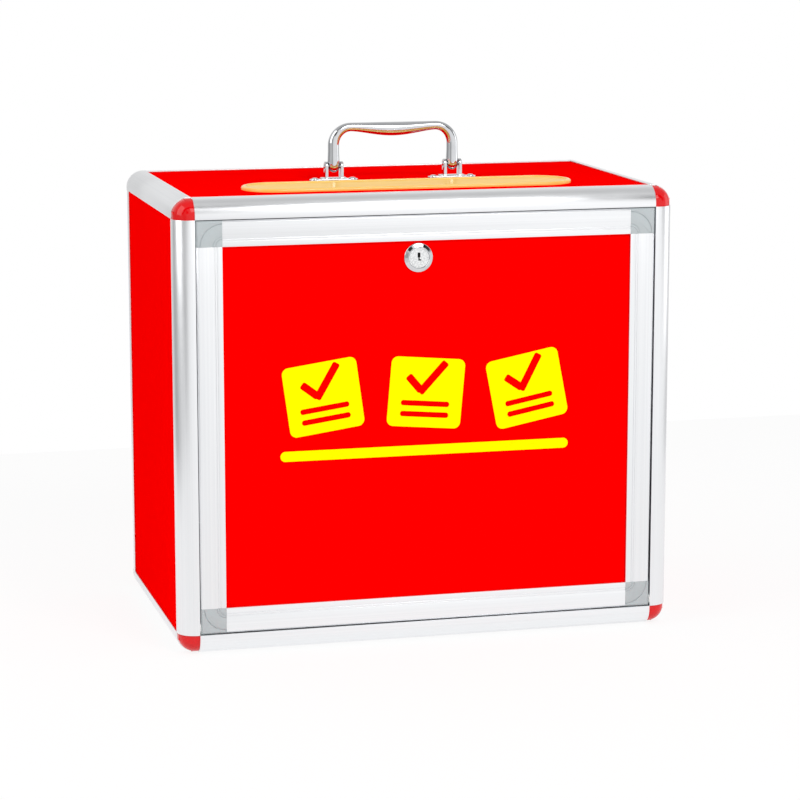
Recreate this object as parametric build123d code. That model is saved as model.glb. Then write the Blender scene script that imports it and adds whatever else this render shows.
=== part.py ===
from build123d import *
from math import atan2, cos, degrees, pi, sin, sqrt
import os

os.makedirs("parts", exist_ok=True)

# Ballot box with an aluminium edge frame, red sheet panels and a drop-down front door.
# Millimetres. X runs to the right, Y runs back from the door, Z runs up.
# The origin is the middle of the footprint, on the surface that the box stands on.

# Whole box
width = 450.0
depth = 255.0
height = 400.0
cut_over = 1.0  # how far a cutting tool runs past the face that it leaves
slip = 0.1  # gap each side of a sheet in its groove
end_gap = 0.3  # gap between a sheet's edge and the bottom of its groove
plug_gap = 0.15  # gap round a moulded plug inside an extrusion
run_gap = 0.05  # radial gap of a pin or shaft that turns
few_sides = 12  # flats that stand for a round on small pieces that repeat
nut_sides = 6  # flats of a nut

# Red sheets
sheet = 3.0
groove = sheet + 2 * slip

# Round edge extrusions
edge_cover = 18.0  # how far the extrusion covers each face of the box
edge_round = 15.5
edge_wall = 1.2
edge_groove_depth = 6.5
stop_reach = 6.0  # how far the door stop stands into the opening
door_stop_gap = 1.3  # between the back of the door frame and the stop

# Slim extrusions round the back
back_inset = 1.0  # the back frame lies this much inside the ends of the round edges
back_side_cover = 8.0
back_rear_cover = 14.0
back_wall = 0.9
back_round = 1.5

# Corner caps
cap_plug_length = 18.0
plug_sides = 16  # flats round a plug's curved side

# Door
door_gap = 1.4
door_frame_width = 22.0
door_frame_depth = 12.0
door_frame_wall = 1.2
door_frame_bevel = 1.5
door_groove_depth = 7.0
door_lip = 2.4  # front lip, which sets how far the door sheet lies back
door_line_width = 0.6
door_line_depth = 0.4
door_line_first = 5.0  # from the inner edge of the frame
door_line_pitch = 1.8
door_lines = 2
block_plug_length = 16.0
block_arc = 19.5
block_arc_width = 0.7
block_arc_depth = 0.4
block_arc_sides = 32  # flats in the whole circle

# Door pivots
pivot_back = 4.5  # from the front face of the door
pivot_up = 5.0  # from the bottom edge of the door
pivot_pin_radius = 2.0
pivot_pin_in_block = 9.0
pivot_pin_in_jamb = 4.6
bush_radius = 3.0
bush_flange_radius = 4.4
bush_flange = 0.9
bush_end = 0.5  # the closed end of the bush, past its pin

# Cam lock
lock_offset = -10.0
lock_drop = 56.4  # from the top of the box
lock_flange_radius = 13.0
lock_flange = 2.3
lock_barrel_radius = 9.5
lock_barrel_flat = 8.3  # half the width over the flats of the barrel
lock_face_radius = 9.1
lock_face = 1.5
lock_face_set_back = 0.3
lock_plug_radius = 6.0
lock_sides = 24  # flats round the barrel and the plug's shaft, behind their faces
lock_nut_half_flats = 12.0
lock_nut = 4.0
lock_tang_half = 3.2
cam_clearance = 0.9  # between the door stop and the cam
cam_length = 38.0
cam_half_width = 7.5
cam_bevel = 2.5
cam_plate = 2.0
cam_screw_radius = 1.9
cam_screw_depth = 6.0
cam_head_half_flats = 4.0
cam_head = 2.2
keyway_width = 1.3
keyway_height = 7.0
keyway_depth = 9.0
keyway_jog = 1.5

# Slot insert in the top
insert_length = 302.0
insert_width = 62.0
insert_front = 46.0  # from the front of the box
insert_rim = 3.0
insert_rim_bevel = 1.6
insert_rim_width = 4.6
insert_flange = 7.0  # how far it laps over the hole in the sheet
insert_plate = 2.1
insert_skirt = 6.2
insert_skirt_wall = 2.0
insert_dish = 2.2  # depth of the dish below the top of the sheet
insert_dish_margin = 5.0
insert_skirt_gap = 0.3
slot_width = 8.0
slot_lip = 2.0
slot_lip_depth = 9.0
hook_width = 10.0
hook_reach = 1.3
hook_height = 2.2
hook_gap = 0.2
hook_pairs = 3

# Folding carrying handle
handle_gap = 17.0  # from the insert to the handle's brackets
handle_span = 111.0  # between the middles of the two legs
handle_pivot_up = 13.2
handle_top_up = 53.6
handle_crown = 1.4  # how far the middle of the grip rises above its ends
handle_bend = 16.0
handle_bend_steps = 5
handle_sides = 16
handle_bar_thickness = 8.6
handle_foot_thickness = 10.4
handle_grip_thickness = 13.0
handle_foot_taper = 12.0
handle_blend = 0.3  # how deep in the bar the grip and the feet begin to swell
handle_pin_radius = 2.0
handle_pin_end = 0.7  # how far the pin stands out of each ear
bracket_length = 45.0
bracket_depth = 11.0
bracket_base = 1.8
bracket_ear = 2.6
bracket_ear_radius = 4.3
bracket_ear_gap = 0.6
bracket_rivet_pitch = 35.0
rivet_shank_radius = 1.6
rivet_head_radius = 3.2
rivet_head = 1.0
rivet_head_slope = 40.0  # degrees
rivet_tail_radius = 2.5
rivet_tail = 1.6
washer_radius = 4.5
washer = 0.8
rivet_gap = 0.05

# Places that follow from the sizes above
half_width = width / 2
front = -depth / 2
back = depth / 2
edge_floor = edge_cover - edge_groove_depth
edge_web = edge_floor - edge_wall
edge_inner = edge_wall + groove + edge_wall
bush_length = pivot_pin_in_jamb + bush_end
stop_front = door_frame_depth + door_stop_gap
stop_back = stop_front + edge_wall
back_face = back - back_inset
back_inner = back_wall + groove + back_wall
sheet_out = edge_wall + slip  # from an outer face of the box to the sheet behind it
top_of_sheet = height - sheet_out
opening_half = half_width - edge_cover
door_half = opening_half - door_gap
door_bottom = edge_cover + door_gap
door_top = height - edge_cover - door_gap
door_middle = (door_bottom + door_top) / 2
door_height = door_top - door_bottom
frame_floor = door_frame_width - door_groove_depth
door_sheet_front = front + door_lip + slip
pivot_y = front + pivot_back
pivot_z = door_bottom + pivot_up
lock_z = height - lock_drop
cam_front = front + stop_back + cam_clearance
insert_y = front + insert_front + insert_width / 2
slot_length = insert_length - insert_width + slot_width  # its ends share the insert's centres
hole_length = insert_length - 2 * insert_flange
hole_width = insert_width - 2 * insert_flange
handle_y = insert_y + insert_width / 2 + handle_gap + bracket_depth / 2
handle_z = top_of_sheet + handle_pivot_up

LEFT_RIGHT = Plane.YZ
LOW_HIGH = Plane.XY.offset(height / 2)


def save(name, shape):
    export_step(shape, "parts/" + name + ".step")


def block(low, high):
    """A box between two opposite corners."""
    size = [high[i] - low[i] for i in range(3)]
    middle = [(high[i] + low[i]) / 2 for i in range(3)]
    return Pos(*middle) * Box(*size)


def area(low, high):
    """A rectangle between two opposite corners of a section."""
    size = [high[i] - low[i] for i in range(2)]
    middle = [(high[i] + low[i]) / 2 for i in range(2)]
    return Pos(*middle) * Rectangle(*size)


def along_x(radius, start, end, y, z):
    """A round bar along X."""
    return Pos((start + end) / 2, y, z) * Rot(0, 90, 0) * Cylinder(radius, end - start)


def along_y(radius, start, end, x, z):
    """A round bar along Y."""
    return Pos(x, (start + end) / 2, z) * Rot(90, 0, 0) * Cylinder(radius, end - start)


def few_sided_z(radius, start, end, x, y):
    """A small upright bar, or the cutter of its hole, with flats for a round."""
    outline = RegularPolygon(radius, few_sides, major_radius=False)
    return extrude(Pos(x, y, start) * outline, amount=end - start)


def few_sided_x(radius, start, end, y, z):
    """The same along X."""
    outline = RegularPolygon(radius, few_sides, major_radius=False)
    place = Plane(origin=(start, y, z), x_dir=(0, 1, 0), z_dir=(1, 0, 0))
    return extrude(place * outline, amount=end - start)


def few_sided_y(radius, start, end, x, z):
    """The same along Y."""
    outline = RegularPolygon(radius, few_sides, major_radius=False)
    place = Plane(origin=(x, start, z), x_dir=(1, 0, 0), z_dir=(0, 1, 0))
    return extrude(place * outline, amount=end - start)


def run(section, middle, u, v, length):
    """An extrusion of a section whose own axes point along u and v, about its middle."""
    place = Plane(origin=middle, x_dir=u, z_dir=Vector(*u).cross(Vector(*v)))
    return extrude(place * section, amount=length / 2, both=True)


# Sections. Each has its outer corner at the origin and both faces of the box along +x and +y.


def round_corner(cover_u, cover_v, radius):
    corner = area((0, 0), (cover_u, cover_v))
    square = area((0, 0), (radius, radius))
    disc = Pos(radius, radius) * Circle(radius)
    return corner - (square - disc)


def round_inside(gap):
    """The quarter round inside of an edge extrusion, or with a gap its plug's, cut in flats."""
    radius = edge_round - edge_wall - gap
    outline = RegularPolygon(radius, plug_sides) if gap else Circle(radius)
    disc = Pos(edge_round, edge_round) * outline
    inset = edge_wall + gap
    slot_one = area((edge_round, inset), (edge_cover, edge_cover))
    slot_two = area((inset, edge_round), (edge_cover, edge_cover))
    return disc + slot_one + slot_two


def front_chamber(gap):
    """The hollow of a front extrusion, which the plugs of the caps fill."""
    inset = edge_wall + gap
    reach = area((inset, inset), (edge_cover - inset, edge_web - gap))
    return reach & round_inside(gap)


def side_chamber(gap):
    """The crescent hollow of an extrusion that holds a sheet in each face."""
    inset = edge_wall + gap
    near = edge_wall + groove
    shift = gap * sqrt(2)
    outline = Polygon(
        (inset, inset),
        (edge_web - gap, inset),
        (edge_web - gap, near + gap - shift),
        (near + gap - shift, edge_web - gap),
        (inset, edge_web - gap),
        align=None,
    )
    return outline & round_inside(gap)


def front_section():
    """Round edge with a door jamb and stop on one side and a sheet groove on the other."""
    body = round_corner(edge_cover, edge_cover, edge_round)
    body -= front_chamber(0)
    body -= area((edge_wall, edge_floor), (edge_wall + groove, edge_cover + cut_over))
    body -= area((edge_inner, edge_floor), (edge_cover - edge_wall, edge_cover + cut_over))
    body -= area((edge_inner, stop_back), (edge_cover + cut_over, edge_cover + cut_over))
    body += area((edge_cover - edge_wall, stop_front), (edge_cover + stop_reach, stop_back))
    return body


def side_section():
    """Round edge with a sheet groove on both sides."""
    body = round_corner(edge_cover, edge_cover, edge_round)
    body -= side_chamber(0)
    body -= area((edge_floor, edge_wall), (edge_cover + cut_over, edge_wall + groove))
    body -= area((edge_wall, edge_floor), (edge_wall + groove, edge_cover + cut_over))
    open_end = edge_cover + cut_over
    inside = Polygon(
        (edge_inner, open_end),
        (edge_inner, edge_web),
        (edge_web, edge_inner),
        (open_end, edge_inner),
        (open_end, open_end),
        align=None,
    )
    return body - inside


def back_section():
    """Slim edge: a wide lip on the back sheet and a narrow one on the side sheet."""
    body = round_corner(back_rear_cover, back_side_cover, back_round)
    side_near = edge_wall
    side_far = edge_wall + groove
    side_inner = side_far + back_wall
    rear_near = back_wall
    rear_far = back_wall + groove
    rear_end = back_rear_cover + cut_over
    side_end = back_side_cover + cut_over
    body -= area((side_near, rear_near), (side_far, rear_far))
    body -= area((side_inner, rear_near), (rear_end, rear_far))
    body -= area((side_near, back_inner), (side_far, side_end))
    body -= area((side_inner, back_inner), (rear_end, side_end))
    return body


def door_section():
    """Door frame: outer edge along +y, front face along +x, sheet groove at the inner edge."""
    tube = area((0, 0), (frame_floor, door_frame_depth))
    bevel = door_frame_bevel
    front_bevel = Polygon((0, 0), (bevel, 0), (0, bevel), align=None)
    back_bevel = Polygon(
        (0, door_frame_depth), (0, door_frame_depth - bevel), (bevel, door_frame_depth), align=None
    )
    tube -= front_bevel + back_bevel
    tube -= door_chamber(0)
    tube += area((frame_floor - door_frame_wall, 0), (door_frame_width, door_lip))
    inner_lip = door_lip + groove
    tube += area(
        (frame_floor - door_frame_wall, inner_lip), (door_frame_width, inner_lip + door_frame_wall)
    )
    for line in range(door_lines):
        middle = door_frame_width - door_line_first - line * door_line_pitch
        tube -= area(
            (middle - door_line_width / 2, -cut_over), (middle + door_line_width / 2, door_line_depth)
        )
    return tube


def door_chamber(gap):
    inset = door_frame_wall + gap
    return area((inset, inset), (frame_floor - inset, door_frame_depth - inset))


def stadium(length, breadth, z, x=0.0, y=0.0):
    """A long round-ended outline at a height."""
    return Pos(x, y, z) * SlotOverall(length, breadth)


def stadium_solid(length, breadth, low, high, x=0.0, y=0.0):
    return extrude(stadium(length, breadth, low, x, y), amount=high - low, dir=(0, 0, 1))


# Edge frame


def front_upright():
    """Left front upright, with the hole for the pivot bush in its jamb."""
    bar = run(
        front_section(), (-half_width, front, height / 2), (1, 0, 0), (0, 1, 0), height - 2 * edge_cover
    )
    hole = few_sided_x(
        bush_radius + plug_gap,
        -opening_half - bush_length - plug_gap,
        -opening_half + cut_over,
        pivot_y,
        pivot_z,
    )
    return bar - hole


def front_crossbar():
    """Bottom front bar. Its door stop is cut back at the ends to clear the uprights' stops."""
    bar = run(front_section(), (0, front, 0), (0, 0, 1), (0, 1, 0), width - 2 * edge_cover)
    for side in (-1, 1):
        near = side * (opening_half - stop_reach - end_gap)
        far = side * (opening_half + cut_over)
        bar -= block(
            (min(near, far), front + stop_front - cut_over / 2, edge_cover),
            (max(near, far), front + stop_back + cut_over, edge_cover + stop_reach + cut_over),
        )
    return bar


def side_edge():
    """Bottom left edge, which runs from the front cap to a plain sawn end at the back."""
    length = depth - edge_cover
    middle = (-half_width, back - length / 2, 0)
    return run(side_section(), middle, (1, 0, 0), (0, 0, 1), length)


def back_upright():
    place = (-half_width, back_face, height / 2)
    return run(back_section(), place, (1, 0, 0), (0, -1, 0), height - 2 * edge_cover)


def back_crossbar():
    place = (0, back_face, 0)
    return run(back_section(), place, (0, 0, 1), (0, -1, 0), width - 2 * edge_cover)


# Corner caps


def ball_corner(corner):
    """A cube whose corner is cut to a ball by six rounds about one centre.

    Three of them lie along the cube's edges and carry on from the bars. The others lie across.
    """
    cube = block(corner, [c + edge_cover for c in corner])
    body = cube
    for axis in (Axis.X, Axis.Y, Axis.Z):
        edges = cube.edges().filter_by(axis)
        body &= fillet(edges.sort_by_distance(corner)[0], edge_round)
    centre = [c + edge_round for c in corner]
    near = block(corner, centre)
    for across in ((0, 1, -1), (1, 0, -1), (1, -1, 0)):
        place = Plane(origin=centre, z_dir=across)
        body -= near - extrude(place * Circle(edge_round), amount=edge_round, both=True)
    return body


def corner_cap(with_bush):
    """Lower left front cap: a ball corner with a plug for each of the three bars."""
    corner = (-half_width, front, 0)
    cap = ball_corner(corner)
    # pockets for the corners of the side sheet and the bottom sheet
    near = edge_floor
    far = edge_cover + cut_over
    x, y, z = corner
    cap -= block((x + edge_wall, y + near, z + near), (x + edge_wall + groove, y + far, z + far))
    cap -= block((x + near, y + near, z + edge_wall), (x + far, y + far, z + edge_wall + groove))
    root = edge_wall
    length = cap_plug_length + root
    middle = edge_cover - root + length / 2
    cap += run(front_chamber(plug_gap), (x, y, z + middle), (1, 0, 0), (0, 1, 0), length)
    cap += run(front_chamber(plug_gap), (x + middle, y, z), (0, 0, 1), (0, 1, 0), length)
    cap += run(side_chamber(plug_gap), (x, y + middle, z), (1, 0, 0), (0, 0, 1), length)
    if with_bush:
        # a notch, open to the front, for the pivot bush that crosses the upright's plug
        reach = bush_radius + end_gap
        start = -opening_half - bush_length - end_gap
        cap -= block(
            (start, front, pivot_z - reach), (-opening_half + cut_over, pivot_y + reach, pivot_z + reach)
        )
    return cap


# Red sheets


def side_sheet():
    low = edge_floor + end_gap
    x = -half_width + sheet_out
    return block(
        (x, front + low, low),
        (x + sheet, back_face - back_inner - end_gap, height - low),
    )


def bottom_sheet():
    low = edge_floor + end_gap
    reach = half_width - low
    return block(
        (-reach, front + low, sheet_out),
        (reach, back_face - back_inner - end_gap, sheet_out + sheet),
    )


def top_sheet():
    """Top sheet, with the hole for the slot insert and the holes for the handle rivets."""
    plate = mirror(bottom_sheet(), about=LOW_HIGH)
    low = top_of_sheet - sheet - cut_over
    high = top_of_sheet + cut_over
    plate -= stadium_solid(hole_length, hole_width, low, high, 0, insert_y)
    for x in handle_rivet_places():
        plate -= few_sided_z(rivet_shank_radius + rivet_gap, low, high, x, handle_y)
    return plate


def back_sheet():
    """Back sheet. Its corners are notched round the ends of the side edge extrusions."""
    inset = edge_wall + groove + back_wall + end_gap
    low = back_face - back_wall - slip - sheet
    high = low + sheet
    plate = block((-half_width + inset, low, inset), (half_width - inset, high, height - inset))
    clear = edge_inner + end_gap
    across = edge_web + end_gap
    square = edge_cover + end_gap
    notch = Polygon(
        (0, 0), (square, 0), (square, clear), (across, clear), (clear, across), (clear, square),
        (0, square), align=None,
    )
    place = (-half_width, (low + high) / 2, 0)
    cutter = run(notch, place, (1, 0, 0), (0, 0, 1), sheet + 2 * cut_over)
    for half in (cutter, mirror(cutter, about=LOW_HIGH)):
        plate -= half
        plate -= mirror(half, about=LEFT_RIGHT)
    return plate


# Slot insert


def slot_insert():
    """Moulded trim: rim, sloping dish, slot with a turned-down lip, skirt and snap hooks."""
    z = top_of_sheet
    y = insert_y
    rim = stadium_solid(insert_length, insert_width, z, z + insert_rim, 0, y)
    rim = chamfer(rim.edges().group_by(Axis.Z)[-1], insert_rim_bevel)
    skirt_length = hole_length - 2 * insert_skirt_gap
    skirt_width = hole_width - 2 * insert_skirt_gap
    skirt = stadium_solid(skirt_length, skirt_width, z - insert_skirt, z, 0, y)
    wall = 2 * insert_skirt_wall
    skirt -= stadium_solid(
        skirt_length - wall, skirt_width - wall, z - insert_skirt - cut_over, z, 0, y
    )
    # the dish is a tapering stadium, and its plate is the same form set down by a thickness
    mouth_margin = 2 * insert_rim_width
    floor_margin = 2 * insert_dish_margin
    mouth = (insert_length - mouth_margin, insert_width - mouth_margin)
    floor = (slot_length + floor_margin, slot_width + floor_margin)
    dish_top = z + insert_rim
    dish_low = z - insert_dish
    dish = loft([stadium(*mouth, dish_top, 0, y), stadium(*floor, dish_low, 0, y)], ruled=True)
    plate = loft(
        [
            stadium(*mouth, dish_top - insert_plate, 0, y),
            stadium(*floor, dish_low - insert_plate, 0, y),
        ],
        ruled=True,
    )
    lip = 2 * slot_lip
    spout = stadium_solid(
        slot_length + lip, slot_width + lip, z - slot_lip_depth, dish_low - insert_plate / 2, 0, y
    )
    body = rim + skirt + plate + spout
    for side in (-1, 1):
        for i in range(hook_pairs):
            share = (i + 1) / (hook_pairs + 1)
            x = (share - 1 / 2) * hole_length
            body += snap_hook(x, side, skirt_width / 2)
    body -= dish
    body -= stadium_solid(
        slot_length, slot_width, z - slot_lip_depth - cut_over, dish_top + cut_over, 0, y
    )
    return body


def snap_hook(x, side, wall_face):
    """A wedge on the skirt that catches under the top sheet."""
    top = top_of_sheet - sheet - hook_gap
    root = insert_skirt_wall / 2
    outline = Polygon(
        (-root, 0), (hook_reach, 0), (0, -hook_height), (-root, -hook_height), align=None
    )
    middle = (x, insert_y + side * wall_face, top)
    return run(outline, middle, (0, side, 0), (0, 0, 1), hook_width)


# Handle


def handle_rivet_places():
    places = []
    for side in (-1, 1):
        for end in (-1, 1):
            places.append(side * handle_span / 2 + end * bracket_rivet_pitch / 2)
    return places


def handle_grip():
    """Cast bail: a bar bent down at both ends, with a swollen grip and a thick foot on each leg."""
    thin = handle_bar_thickness / 2
    bar_z = top_of_sheet + handle_top_up - handle_crown - thin
    bend_x = handle_span / 2 - handle_bend
    bend_z = bar_z - handle_bend
    path = [(-handle_span / 2, handle_z)]
    for side in (-1, 1):
        turn_shares = [i / handle_bend_steps for i in range(handle_bend_steps + 1)]
        for share in turn_shares if side > 0 else reversed(turn_shares):
            angle = share * pi / 2
            path.append((side * (bend_x + handle_bend * sin(angle)), bend_z + handle_bend * cos(angle)))
    path.append((handle_span / 2, handle_z))
    bail = mitred_bar([Vector(x, handle_y, z) for x, z in path], thin)
    for side in (-1, 1):
        bail += grip_swell(side, bar_z, bend_x)
        bail += handle_foot(side)
    reach = handle_span / 2 + handle_foot_thickness
    return bail - along_x(handle_pin_radius + run_gap, -reach, reach, handle_y, handle_z)


def mitred_bar(points, radius):
    """A bar with flats through a row of points in one upright plane, mitred where it turns."""
    outline = RegularPolygon(radius, handle_sides, major_radius=False)
    runs = [(b - a).normalized() for a, b in zip(points, points[1:])]
    bar = None
    for i, along in enumerate(runs):
        first, last = i == 0, i == len(runs) - 1
        start = points[i] if first else points[i] - along * radius
        end = points[i + 1] if last else points[i + 1] + along * radius
        place = Plane(origin=start, x_dir=(0, 1, 0), z_dir=along)
        piece = extrude(place * outline, amount=(end - start).length)
        if not first:
            mitre = Plane(origin=points[i], z_dir=along + runs[i - 1])
            piece = split(piece, bisect_by=mitre, keep=Keep.TOP)
        if not last:
            mitre = Plane(origin=points[i + 1], z_dir=along + runs[i + 1])
            piece = split(piece, bisect_by=mitre, keep=Keep.BOTTOM)
        bar = bar + piece if bar else piece
    return bar


def bar_taper(place, big, small, length):
    """A stretch of bar that thins from one radius to another."""
    outline = RegularPolygon(big, handle_sides, major_radius=False)
    angle = degrees(atan2(big - small, length))
    return place * extrude(outline, amount=length, taper=angle)


def grip_swell(side, bar_z, bend_x):
    """Half of the grip, which swells in two steps and more downwards than upwards."""
    thin = handle_bar_thickness / 2
    thick = handle_grip_thickness / 2
    drop = thick - thin - handle_crown
    end = thin - drop - handle_blend
    swell_share = 0.75
    middle = end + swell_share * (thick - end)
    body = None
    for start, big, small in ((0, thick, middle), (bend_x / 2, middle, end)):
        place = Plane(
            origin=(side * start, handle_y, bar_z - drop), x_dir=(0, 1, 0), z_dir=(side, 0, 0)
        )
        part = bar_taper(place, big, small, bend_x / 2)
        body = body + part if body else part
    return body


def handle_foot(side):
    """The thick end of a leg, blunted below, round the pivot."""
    x = side * handle_span / 2
    radius = handle_foot_thickness / 2
    half = radius / 2
    low = Plane(origin=(x, handle_y, handle_z - half), x_dir=(0, 1, 0), z_dir=(0, 0, -1))
    high = Plane(origin=(x, handle_y, handle_z + half), x_dir=(0, 1, 0), z_dir=(0, 0, 1))
    foot = bar_taper(low, radius, half, half)
    foot += extrude(
        low * RegularPolygon(radius, handle_sides, major_radius=False), amount=-radius
    )
    return foot + bar_taper(
        high, radius, handle_bar_thickness / 2 - handle_blend, handle_foot_taper
    )


def handle_bracket():
    """Left bracket: a round-ended base with two ears that hold the pin."""
    x = -handle_span / 2
    z = top_of_sheet
    base = stadium_solid(bracket_length, bracket_depth, z, z + bracket_base, x, handle_y)
    inner = handle_foot_thickness / 2 + bracket_ear_gap
    for side in (-1, 1):
        near = x + side * inner
        far = near + side * bracket_ear
        low, high = min(near, far), max(near, far)
        base += few_sided_x(bracket_ear_radius, low, high, handle_y, handle_z)
        base += block(
            (low, handle_y - bracket_ear_radius, z), (high, handle_y + bracket_ear_radius, handle_z)
        )
    reach = inner + bracket_ear + cut_over
    base -= few_sided_x(handle_pin_radius + rivet_gap, x - reach, x + reach, handle_y, handle_z)
    for end in (-1, 1):
        place = x + end * bracket_rivet_pitch / 2
        low, high = z - cut_over, z + bracket_base + cut_over
        base -= few_sided_z(rivet_shank_radius + rivet_gap, low, high, place, handle_y)
    return base


def handle_pin():
    """Left pivot pin, pressed through both ears."""
    x = -handle_span / 2
    reach = handle_foot_thickness / 2 + bracket_ear_gap + bracket_ear + handle_pin_end
    return along_x(handle_pin_radius, x - reach, x + reach, handle_y, handle_z)


def handle_rivet(x):
    """Rivet through a bracket, the top sheet and a washer, with a low head and a set tail."""
    top = top_of_sheet + bracket_base
    low = top_of_sheet - sheet - washer
    outline = RegularPolygon(rivet_head_radius, few_sides, major_radius=False)
    head = extrude(Pos(x, handle_y, top) * outline, amount=rivet_head, taper=rivet_head_slope)
    shank = few_sided_z(rivet_shank_radius, low - rivet_tail, top, x, handle_y)
    return head + shank + few_sided_z(rivet_tail_radius, low - rivet_tail, low, x, handle_y)


def handle_washer(x):
    top = top_of_sheet - sheet
    disc = few_sided_z(washer_radius, top - washer, top, x, handle_y)
    hole = rivet_shank_radius + rivet_gap
    return disc - few_sided_z(hole, top - washer - cut_over, top + cut_over, x, handle_y)


# Door


def door_rail():
    """Bottom rail of the door frame."""
    length = 2 * (door_half - door_frame_width)
    return run(door_section(), (0, front, door_bottom), (0, 0, 1), (0, 1, 0), length)


def door_stile():
    """Left stile of the door frame."""
    length = door_height - 2 * door_frame_width
    return run(door_section(), (-door_half, front, door_middle), (1, 0, 0), (0, 1, 0), length)


def corner_block(with_pivot):
    """Lower left corner block: moulded square with a plug for the rail and one for the stile."""
    x, y, z = -door_half, front, door_bottom
    size = door_frame_width
    body = block((x, y, z), (x + size, y + door_frame_depth, z + size))
    bevel = door_frame_bevel
    groups = body.edges().group_by(Axis.Y)
    outer = [e for e in groups[0] + groups[-1] if on_outer_side(e, x, z)]
    body = chamfer(outer, bevel)
    reach = size + cut_over
    body -= block(
        (x + frame_floor, y + door_lip, z + frame_floor),
        (x + reach, y + door_lip + groove, z + reach),
    )
    inner_lip = door_lip + groove + door_frame_wall
    body -= block(
        (x + frame_floor, y + inner_lip, z + frame_floor),
        (x + reach, y + door_frame_depth + cut_over, z + reach),
    )
    root = door_frame_wall
    length = block_plug_length + root
    middle = size - root + length / 2
    body += run(door_chamber(plug_gap), (x, y, z + middle), (1, 0, 0), (0, 1, 0), length)
    body += run(door_chamber(plug_gap), (x + middle, y, z), (0, 0, 1), (0, 1, 0), length)
    # an arc about the inner corner, cut in the front face
    half = block_arc_width / 2
    ring = RegularPolygon(block_arc + half, block_arc_sides)
    ring -= RegularPolygon(block_arc - half, block_arc_sides)
    place = Plane(origin=(x + size, y, z + size), x_dir=(1, 0, 0), z_dir=(0, -1, 0))
    body -= extrude(place * (ring & area((-size, -size), (0, 0))), amount=-block_arc_depth)
    if with_pivot:
        hole = pivot_pin_radius + plug_gap / 2
        body -= few_sided_x(hole, x - cut_over, x + pivot_pin_in_block + plug_gap, pivot_y, pivot_z)
    return body


def on_outer_side(edge, x, z):
    """True for an edge along the left or bottom side of the lower left corner block."""
    middle = edge.center()
    return abs(middle.X - x) < slip or abs(middle.Z - z) < slip


def door_sheet():
    """Door sheet with the hole for the lock, which has two flats."""
    margin = frame_floor + end_gap
    low = door_sheet_front
    plate = block(
        (-door_half + margin, low, door_bottom + margin),
        (door_half - margin, low + sheet, door_top - margin),
    )
    return plate - lock_outline(plug_gap, low - cut_over, low + sheet + cut_over)


def pivot_pin():
    """Left pivot pin, pressed into the corner block."""
    start = -door_half - door_gap - pivot_pin_in_jamb
    return along_x(pivot_pin_radius, start, -door_half + pivot_pin_in_block, pivot_y, pivot_z)


def pivot_bush():
    """Left bush: a flanged sleeve in the jamb, closed at its inner end."""
    face = -opening_half
    body = few_sided_x(bush_radius, face - bush_length, face, pivot_y, pivot_z)
    body += few_sided_x(bush_flange_radius, face, face + bush_flange, pivot_y, pivot_z)
    hole_end = face - pivot_pin_in_jamb - run_gap
    hole = pivot_pin_radius + run_gap
    return body - along_x(hole, hole_end, face + bush_flange + cut_over, pivot_y, pivot_z)


# Lock


def lock_place(y):
    """A plane across the lock, facing back."""
    return Plane(origin=(lock_offset, y, lock_z), x_dir=(1, 0, 0), z_dir=(0, 1, 0))


def lock_outline(gap, low, high):
    """The barrel's round, in flats, with its two wide flats, at the lock's place."""
    flat = lock_barrel_flat + gap
    tall = lock_barrel_radius + gap
    outline = RegularPolygon(tall, lock_sides) & area((-flat, -tall), (flat, tall))
    return extrude(lock_place(low) * outline, amount=high - low)


def lock_housing():
    """Chromed housing: flange, flatted barrel, and the bore for the plug."""
    face = door_sheet_front - lock_flange
    flange = along_y(lock_flange_radius, face, door_sheet_front, lock_offset, lock_z)
    end = cam_front - run_gap
    body = flange + lock_outline(0, door_sheet_front, end)
    seat = face + lock_face_set_back + lock_face + run_gap
    body -= along_y(lock_face_radius + run_gap, face - cut_over, seat, lock_offset, lock_z)
    return body - along_y(lock_plug_radius + run_gap, face, end + cut_over, lock_offset, lock_z)


def lock_nut_piece():
    low = door_sheet_front + sheet
    across = RegularPolygon(lock_nut_half_flats, nut_sides, major_radius=False)
    nut = extrude(lock_place(low) * across, amount=lock_nut)
    return nut - lock_outline(plug_gap, low - cut_over, low + lock_nut + cut_over)


def lock_plug():
    """Turning plug: face disc with the keyway, shaft, and a square tang for the cam."""
    x, z = lock_offset, lock_z
    face = door_sheet_front - lock_flange + lock_face_set_back
    body = along_y(lock_face_radius, face, face + lock_face, x, z)
    shaft = RegularPolygon(lock_plug_radius, lock_sides)
    body += extrude(lock_place(face) * shaft, amount=cam_front - face)
    tang = lock_tang_half
    body += block((x - tang, cam_front, z - tang), (x + tang, cam_front + cam_plate, z + tang))
    half = keyway_width / 2
    tall = keyway_height / 2
    body -= block((x - half, face - cut_over, z - tall), (x + half, face + keyway_depth, z + tall))
    body -= block(
        (x - half, face - cut_over, z - tall),
        (x + half + keyway_jog, face + keyway_depth, z - tall + keyway_width),
    )
    end = cam_front + cam_plate
    hole = cam_screw_radius + plug_gap / 2
    return body - few_sided_y(hole, end - cam_screw_depth - plug_gap, end + cut_over, x, z)


def lock_cam():
    """Flat cam, pointing sideways while the box is unlocked."""
    half = cam_half_width
    reach = cam_length
    outline = Circle(half) + Polygon(
        (0, -half), (reach - cam_bevel, -half), (reach, cam_bevel - half), (reach, half - cam_bevel),
        (reach - cam_bevel, half), (0, half), align=None,
    )
    hole = lock_tang_half + run_gap
    outline -= area((-hole, -hole), (hole, hole))
    return extrude(lock_place(cam_front) * outline, amount=cam_plate)


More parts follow.
